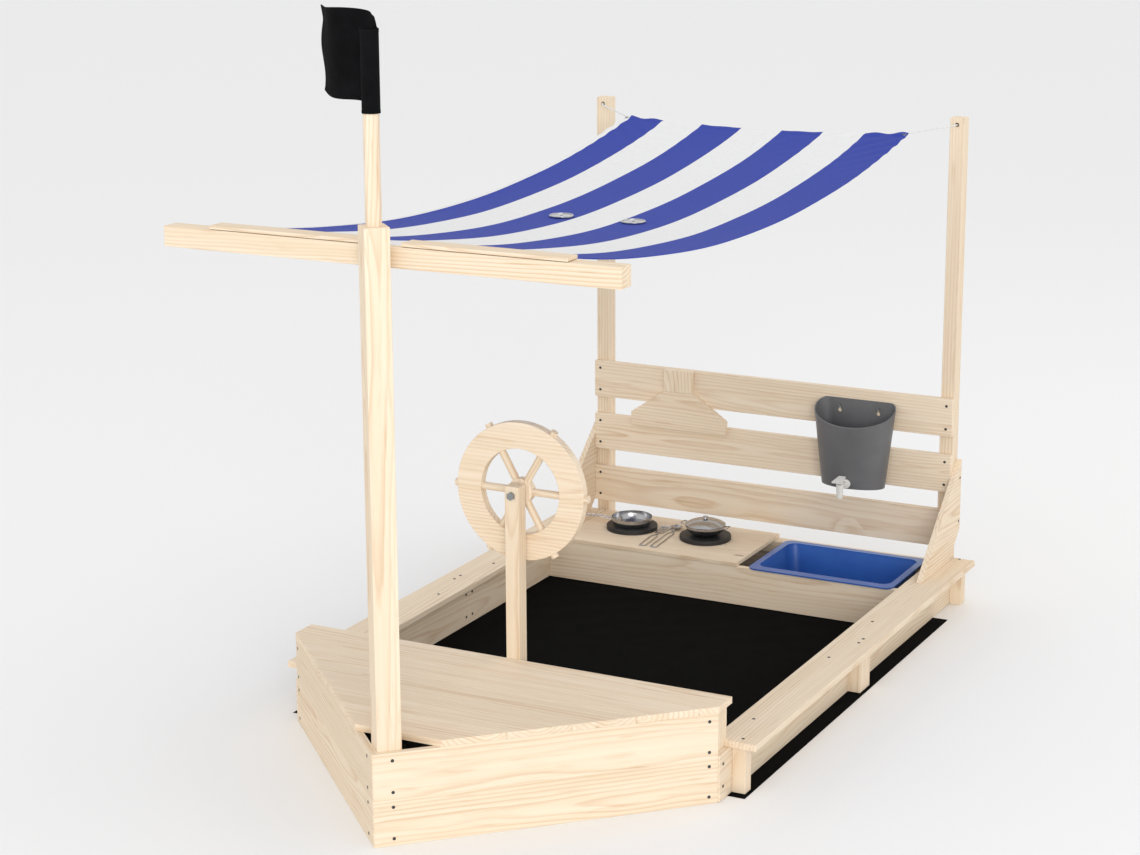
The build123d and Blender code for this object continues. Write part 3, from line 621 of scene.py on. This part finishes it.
def knot_piece(name, end, materials):
    """A trefoil pulled tight against the post, with a short loose tail."""
    size = 1.85 * MM
    middle = end + Vector((0, 5 * MM, 0))
    steps = 48
    loop = []
    for step in range(steps):
        t = 2 * pi * step / steps
        side, up, out = sin(t) + 2 * sin(2 * t), cos(t) - 2 * cos(2 * t), -1.15 * sin(3 * t)
        loop.append(middle + size * Vector((side, out, up)))
    tail = [
        middle,
        middle + Vector((4, 3, -5)) * MM,
        middle + Vector((5, 4, -16)) * MM,
        middle + Vector((2, 3, -27)) * MM,
        middle + Vector((3, 2, -36)) * MM,
    ]
    knot = wire(f"tie_knot_{name}", [tail], CORD / 2 * 0.9, materials["cord"])
    spline = knot.data.splines.new("NURBS")
    spline.points.add(steps - 1)
    for place, point in zip(spline.points, loop):
        place.co = (*point, 1)
        place.radius = CORD / 2 * 0.9
    spline.order_u = 3
    spline.use_cyclic_u = True
    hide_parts("cord_knots")
    return knot


# ---- Flag ----
FLAG_CLOTH = 1.0 * MM


def flag_piece(materials):
    """One cloth wound round the pole as a sleeve, then flying to the left and aft in soft waves."""
    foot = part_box("flag")[0][2]
    pole_low, pole_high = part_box("flag_pole")
    axis = Vector(((pole_low[0] + pole_high[0]) / 2, (pole_low[1] + pole_high[1]) / 2, 0))
    pole = (pole_high[0] - pole_low[0]) / 2
    radius = pole + 1.1 * MM
    wound = 2 * pi * radius
    fly = 215 * MM
    turn = radians(-22)
    sleeve_top = foot + 170 * MM

    def plan(s, v):
        """Place in plan at s metres of cloth, before the fly is turned."""
        if s < wound:
            angle = pi / 2 - 2 * pi + s / radius
            reach = radius + 1.3 * MM * (s / wound) ** 2
            return Vector((reach * cos(angle), reach * sin(angle), 0))
        t = (s - wound) / fly
        wave = (10 + 5 * v) * MM * sin(2 * pi * t / 0.9 + 0.6 * (v - 0.5) * t)
        slant = 0.90 + 0.05 * v + 0.05 * t * smooth_step(0.8, 1, v)
        return Vector((-t * fly * slant, radius + 1.3 * MM + wave * smooth_step(0, 0.25, t), 0))

    def surface(s, v):
        t = max(0, (s - wound) / fly)
        lift = smooth_step(-0.01, 0.05, (s - wound) / fly)
        top = sleeve_top + (20 + 14 * sin(3.4 * t) + 16 * t ** 5) * MM * lift
        bottom = foot + (5 + 4 * sin(7 * t - 0.6) + 22 * t) * MM * lift
        z = bottom + v * (top - bottom)
        here = plan(s, v)
        along = plan(s + 0.5 * MM, v) - plan(s - 0.5 * MM, v)
        normal = Vector((-along.y, along.x, 0)).normalized()
        free = smooth_step(0.7, 1, t)
        here.x += free * 6 * MM * sin(7.5 * v + 0.4)
        hem = 1 - smooth_step(6 * MM, 7 * MM, min(v, 1 - v) * (top - bottom))
        thick = FLAG_CLOTH * (1 + 0.8 * hem)
        seam = abs(s - wound - 4 * MM)
        thick += 0.8 * MM * (1 - smooth_step(1 * MM, 2.5 * MM, seam))
        spin = Matrix.Rotation(turn, 3, "Z")
        return axis + spin @ here + Vector((0, 0, z)), spin @ normal * (thick / 2)

    us = spread(0, wound, 48)
    us += spread(wound + 1 * MM, wound + 12 * MM, 11)
    us += spread(wound + 15 * MM, wound + fly, 48)
    vs = [0, 0.01, 0.02, 0.03, 0.036, 0.04] + spread(0.07, 0.93, 34) + [0.96, 0.964, 0.97, 0.98, 0.99, 1]
    piece = slab("flag_cloth", us, vs, surface, materials["flag"], body="pennant")
    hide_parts("flag")


# ---- Ground sheet ----
def ground_piece(materials):
    """A thin woven sheet under the walls, with faint creases inside the sandpit."""
    low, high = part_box("ground_sheet")
    pit_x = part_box("side_wall_right")[0][0]
    pit_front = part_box("wheel_post")[1][1]
    pit_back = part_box("sandpit_divider")[0][1]
    thick = 0.8 * MM

    def surface(x, y):
        inside = smooth_step(0, 0.06, pit_x - abs(x))
        inside *= smooth_step(0, 0.06, min(y - pit_front, pit_back - y))
        crease = 0.5 + 0.5 * sin(3.1 * x + 2 * sin(2.3 * y)) * sin(4.4 * y + 1.3 * x)
        ripple = 0.5 + 0.5 * sin(38 * x + 9 * sin(6 * y))
        z = high[2] - thick / 2 + inside * (3.2 * crease + 0.7 * ripple) * MM
        return Vector((x, y, z)), Vector((0, 0, thick / 2))

    xs = spread(low[0], high[0], 120)
    ys = spread(low[1], high[1], 140)
    piece = slab("ground_cloth", xs, ys, surface, materials["ground"])
    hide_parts("ground_sheet")


# ---- Studio ----
def make_studio():
    """A pale floor, an even pale sky and three large soft lamps."""
    mesh = bpy.data.meshes.new("floor")
    reach = 30
    corners = [(-reach, -reach, 0), (reach, -reach, 0), (reach, reach, 0), (-reach, reach, 0)]
    mesh.from_pydata(corners, [], [(0, 1, 2, 3)])
    floor_shader = Shader("floor", Roughness=0.9)
    floor_shader.surface.inputs["Base Color"].default_value = (0.86, 0.86, 0.86, 1)
    floor_piece = bpy.data.objects.new("floor", mesh)
    mesh.materials.append(floor_shader.material)
    bpy.context.scene.collection.objects.link(floor_piece)
    world = bpy.data.worlds.new("studio")
    world.use_nodes = True
    background = world.node_tree.nodes["Background"]
    background.inputs["Color"].default_value = (1, 1, 1, 1)
    background.inputs["Strength"].default_value = 0.95
    bpy.context.scene.world = world
    lamps = [
        ("key", (6.4, -9.6, 3.6), 5.0, 415),
        ("front", (0.9, -6.0, 1.2), 2.0, 18),
        ("rim", (2.5, 3.0, 4.5), 3.0, 20),
    ]
    for name, place, size, power in lamps:
        light = bpy.data.lights.new(name, "AREA")
        light.size = size
        light.energy = power
        lamp = bpy.data.objects.new(name, light)
        lamp.location = place
        lamp.rotation_euler = (Vector((0, 0, 0.5)) - Vector(place)).to_track_quat("-Z", "Y").to_euler()
        bpy.context.scene.collection.objects.link(lamp)
    bpy.context.scene.view_settings.view_transform = "Standard"


finishes = make_materials()
tie_cords(finishes)
dress_wood()
for finish, covered in CAD_FINISHES.items():
    for node_name in covered:
        dress(node_name, finishes[finish])
canopy_piece(finishes)
flag_piece(finishes)
ground_piece(finishes)
make_studio()
